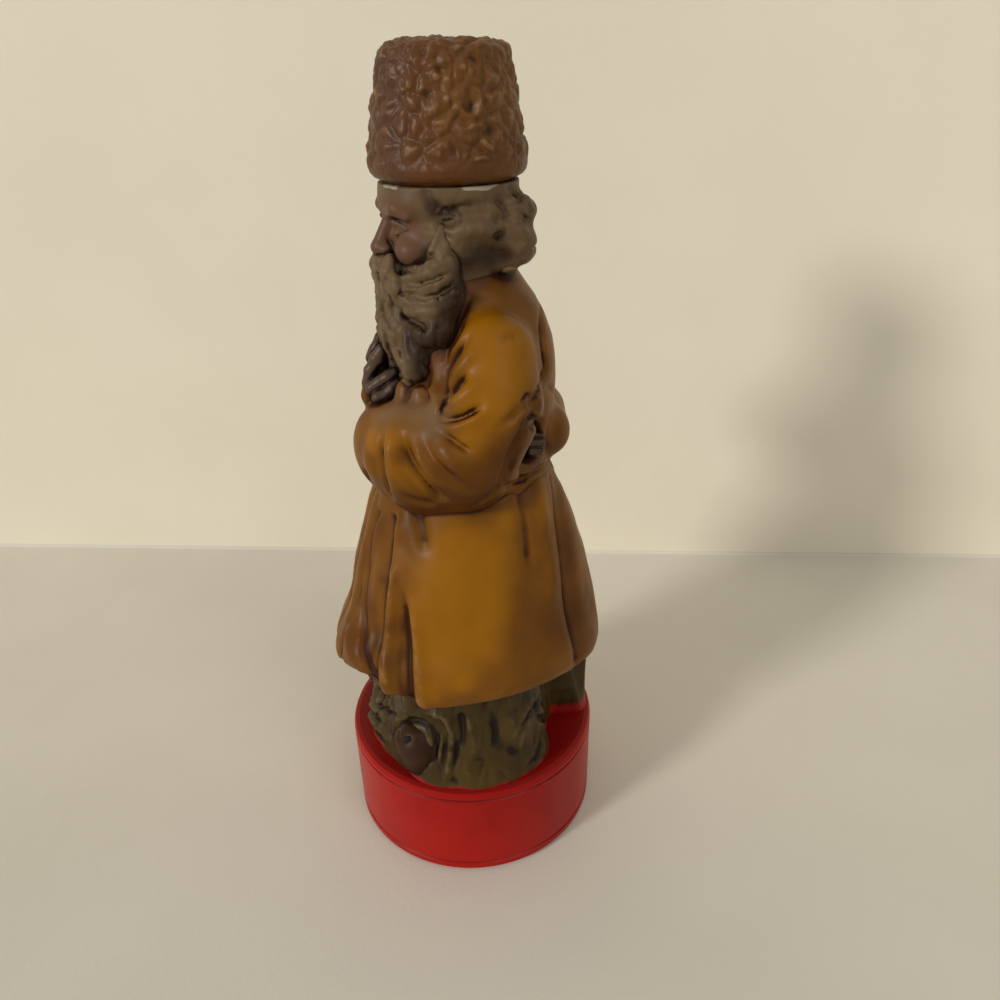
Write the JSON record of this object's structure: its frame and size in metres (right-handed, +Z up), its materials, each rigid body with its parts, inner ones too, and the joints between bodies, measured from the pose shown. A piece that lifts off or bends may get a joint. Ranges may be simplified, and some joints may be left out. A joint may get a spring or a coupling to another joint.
{
  "type": "figural liquor decanter",
  "caption": "Hollow ceramic decanter: a bearded figure in a long coat on a drum plinth, whose tall fur hat lifts off as the corked stopper.",
  "frame": {"origin": "centre of the foot, on the surface the decanter stands on", "axes": "+Z up the decanter, the figure faces -Y, and its left side is +X"},
  "size_m": [0.104, 0.1094, 0.3015],
  "materials": {
    "red_glaze": "satin cold-painted red with a dark wash in its grooves",
    "rock_glaze": "satin olive brown",
    "boot_glaze": "satin grey brown",
    "coat_glaze": "satin ochre with a brown wash in its folds",
    "skin_glaze": "satin brown",
    "hair_glaze": "satin grey brown with dark recesses",
    "fur_glaze": "satin brown fur texture",
    "cork": "natural cork",
    "cement": "matt cement"
  },
  "bodies": {
    "decanter": {"plinth": "red_glaze", "ground": "rock_glaze", "left_boot": "boot_glaze", "right_boot": "boot_glaze", "coat_skirt": "coat_glaze", "coat_body": "coat_glaze", "left_sleeve": "coat_glaze", "right_sleeve": "coat_glaze", "left_hand": "skin_glaze", "right_hand": "skin_glaze", "head": "hair_glaze", "beard": "hair_glaze"},
    "stopper": {"hat": "fur_glaze", "cork": "cork", "cork_cement": "cement"}
  },
  "joints": [
    {"name": "stopper_lift", "type": "slide", "parent": "decanter", "child": "stopper", "axis": [0, 0, 1], "range_m": [0, 0.04]}
  ]
}
